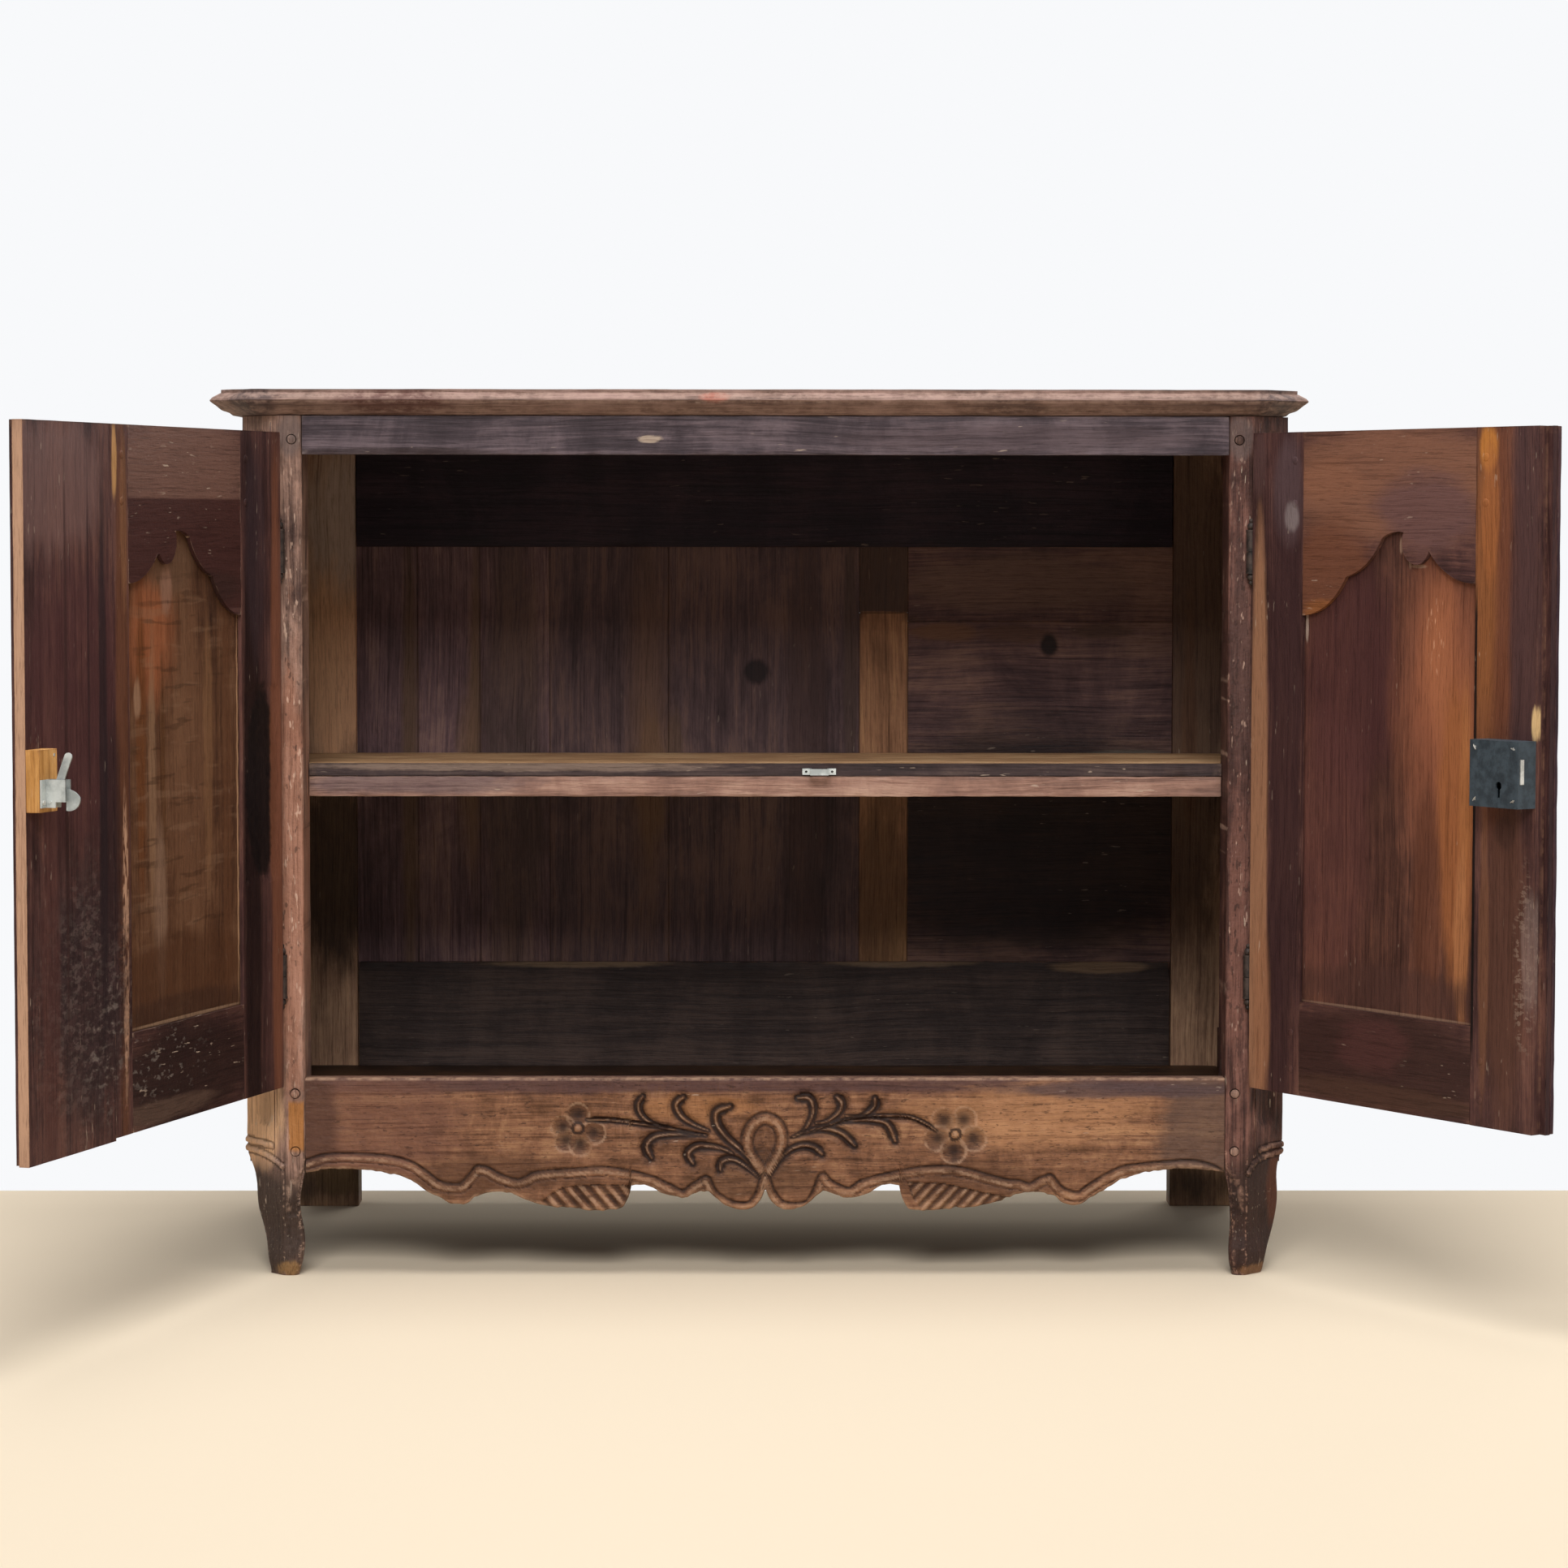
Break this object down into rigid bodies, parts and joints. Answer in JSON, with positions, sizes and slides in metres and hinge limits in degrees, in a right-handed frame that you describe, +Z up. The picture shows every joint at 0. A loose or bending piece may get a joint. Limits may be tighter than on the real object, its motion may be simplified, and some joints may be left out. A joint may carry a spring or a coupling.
{
  "type": "court cupboard",
  "caption": "Low country buffet with framed doors standing open, scalloped carved apron, S-curved front feet, moulded top, shelf, rim lock and spring catch.",
  "frame": {"origin": "middle of the footprint of the cupboard with its doors open as pictured, on the floor", "axes": "+Z up, +X to the viewer's right along the case, -Y out of the front with the doors"},
  "size_m": [1.6396, 1.201, 1.05],
  "materials": {
    "hinge_iron": "dark oiled iron",
    "lock_steel": "blue-grey aged steel",
    "brass_plate": "aged brass",
    "bright_screw": "bright plated",
    "zinc_sheet": "dull zinc",
    "pale_block": "bare",
    "golden_pine": "bare, worn",
    "plum_wood": "old paint, worn",
    "dark_oak": "dark stained and waxed, very worn",
    "back_wood": "dark stained, worn",
    "panel_wood": "orange-brown stain, worn"
  },
  "bodies": {
    "case": {"front_pegs": "dark_oak", "hinge_post_leaves": "hinge_iron", "hinge_pins": "hinge_iron", "front_left_post": "dark_oak", "front_right_post": "dark_oak", "back_narrow_planks": "back_wood", "back_wide_planks": "back_wood", "back_split_plank": "back_wood", "back_level_boards": "back_wood", "back_top_rail": "back_wood", "back_bottom_rail": "back_wood", "back_left_post": "dark_oak", "back_right_post": "dark_oak", "left_side_panel": "dark_oak", "right_side_panel": "dark_oak", "side_top_rails": "dark_oak", "side_bottom_rails": "dark_oak", "front_top_rail": "dark_oak", "apron": "dark_oak", "top_front_board": "dark_oak", "top_back_board": "dark_oak", "floor_front_board": "golden_pine", "floor_back_board": "golden_pine", "floor_bearers": "golden_pine", "shelf_lipping": "dark_oak", "shelf_board": "golden_pine", "shelf_batten": "plum_wood", "shelf_cleats": "golden_pine", "strike_screws": "bright_screw", "catch_strike": "zinc_sheet"},
    "left_door": {"left_panel": "panel_wood", "left_door_pegs": "dark_oak", "left_bottom_rail": "dark_oak", "left_top_rail": "dark_oak", "left_hinge_door_leaves": "hinge_iron", "left_hinge_stile": "dark_oak", "left_meeting_stile": "dark_oak", "left_centre_board": "dark_oak", "keeper_block": "pale_block", "block_fixings": "bright_screw", "catch_bracket": "zinc_sheet", "catch_pin": "zinc_sheet", "catch_spring": "zinc_sheet"},
    "right_door": {"right_panel": "panel_wood", "right_door_pegs": "dark_oak", "right_bottom_rail": "dark_oak", "right_top_rail": "dark_oak", "right_hinge_door_leaves": "hinge_iron", "right_hinge_stile": "dark_oak", "right_meeting_stile": "dark_oak", "right_cover_strip": "dark_oak", "keyhole_plate": "brass_plate", "lock_screws": "bright_screw", "lock_case": "lock_steel", "lock_posts": "lock_steel", "lock_back_plate": "lock_steel", "lock_spring": "lock_steel"},
    "lock_bolt": {"lock_bolt": "lock_steel"},
    "catch_lever": {"catch_lever": "zinc_sheet"}
  },
  "joints": [
    {"name": "left_door_hinge", "type": "hinge", "parent": "case", "child": "left_door", "pos_m": [-0.61043, 0.02885, 0.358], "axis": [0, 0, 1], "range_deg": [-57.3, 107.7]},
    {"name": "right_door_hinge", "type": "hinge", "parent": "case", "child": "right_door", "pos_m": [0.53156, 0.02885, 0.358], "axis": [0, 0, -1], "range_deg": [-41.8, 123.2]},
    {"name": "lock_bolt_slide", "type": "slide", "parent": "right_door", "child": "lock_bolt", "axis": [0.5476, -0.8368, 0], "range_m": [0, 0.011]},
    {"name": "catch_lever_pivot", "type": "hinge", "parent": "left_door", "child": "catch_lever", "pos_m": [-0.77705, -0.58466, 0.60501], "axis": [-0.304, -0.9527, 0], "range_deg": [0, 20], "stiffness_Nm_per_rad": 0.12, "springref_deg": -5.73}
  ]
}
